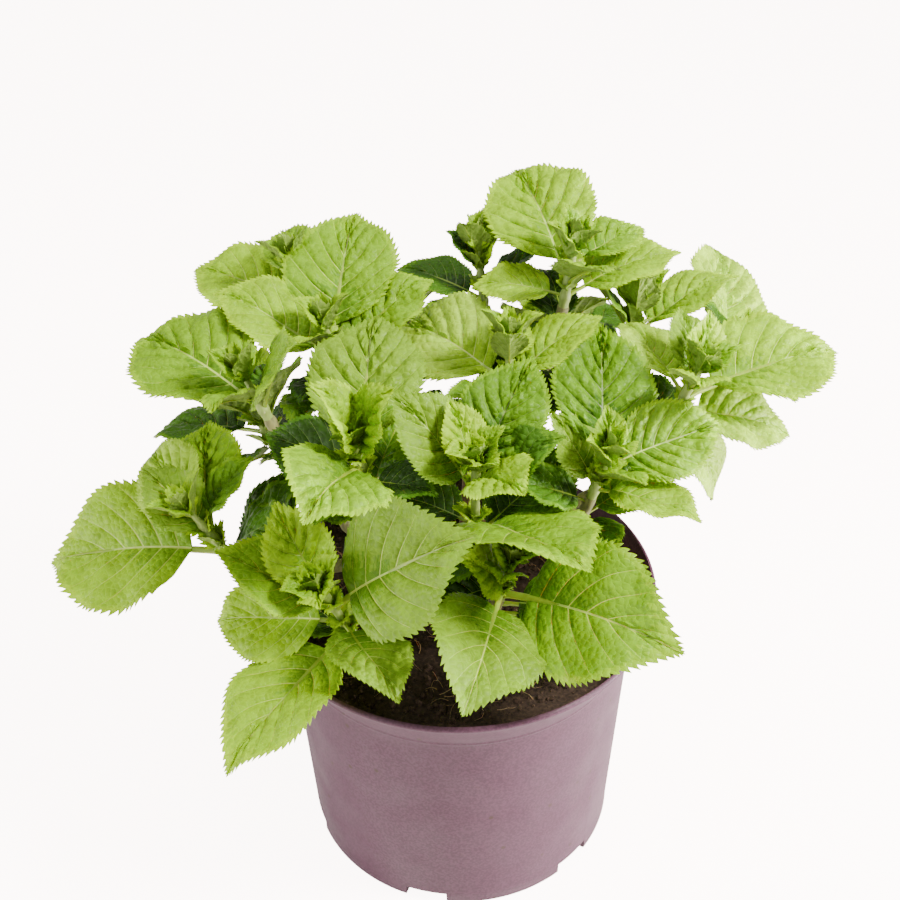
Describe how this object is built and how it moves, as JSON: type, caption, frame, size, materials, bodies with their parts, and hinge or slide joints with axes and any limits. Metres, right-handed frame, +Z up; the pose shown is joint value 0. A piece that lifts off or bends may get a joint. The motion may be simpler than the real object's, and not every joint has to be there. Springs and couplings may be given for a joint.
{
  "type": "hydrangea shrub in a pot",
  "caption": "Young leafy garden shrub with forked woody stems, opposite serrated leaves in rosettes, and a tapered plastic pot filled with soil.",
  "frame": {"origin": "centre of the pot's flat underside", "axes": "+Z up along the pot's axis, -Y towards the side the shrub is seen from, +X to that side's right"},
  "size_m": [0.4565, 0.3567, 0.3836],
  "materials": {
    "pot": "dusty mauve moulded plastic, matte, with a fine speckle and a few smudges of soil",
    "soil": "damp dark potting compost with crumbs and short fibres",
    "wood": "brown bark with fine furrows and pale lenticels",
    "bough": "young shoots, green turning brown, with raised lenticels",
    "foliage": "fresh yellow-green leaves with pale raised veins, satin, darker in the shade"
  },
  "bodies": {
    "root": {"bough_back": "bough", "bough_back_left": "bough", "bough_back_right": "bough", "bough_centre": "bough", "bough_far_left": "bough", "bough_front": "bough", "bough_high_back_left": "bough", "bough_high_right": "bough", "bough_left": "bough", "bough_left_front": "bough", "bough_low_front": "bough", "bough_low_left": "bough", "bough_right": "bough", "bough_right_front": "bough", "bough_top": "bough", "bough_upper_back": "bough", "bough_upper_left": "bough", "bough_upper_right": "bough", "foliage_back": "foliage", "foliage_back_left": "foliage", "foliage_back_right": "foliage", "foliage_centre": "foliage", "foliage_far_left": "foliage", "foliage_front": "foliage", "foliage_high_back_left": "foliage", "foliage_high_right": "foliage", "foliage_left": "foliage", "foliage_left_front": "foliage", "foliage_low_front": "foliage", "foliage_low_left": "foliage", "foliage_right": "foliage", "foliage_right_front": "foliage", "foliage_top": "foliage", "foliage_upper_back": "foliage", "foliage_upper_left": "foliage", "foliage_upper_right": "foliage", "limb_back": "wood", "limb_back_left": "wood", "limb_left": "wood", "limb_middle": "wood", "limb_right": "wood", "pot": "pot", "soil": "soil", "stool": "wood"}
  },
  "joints": []
}
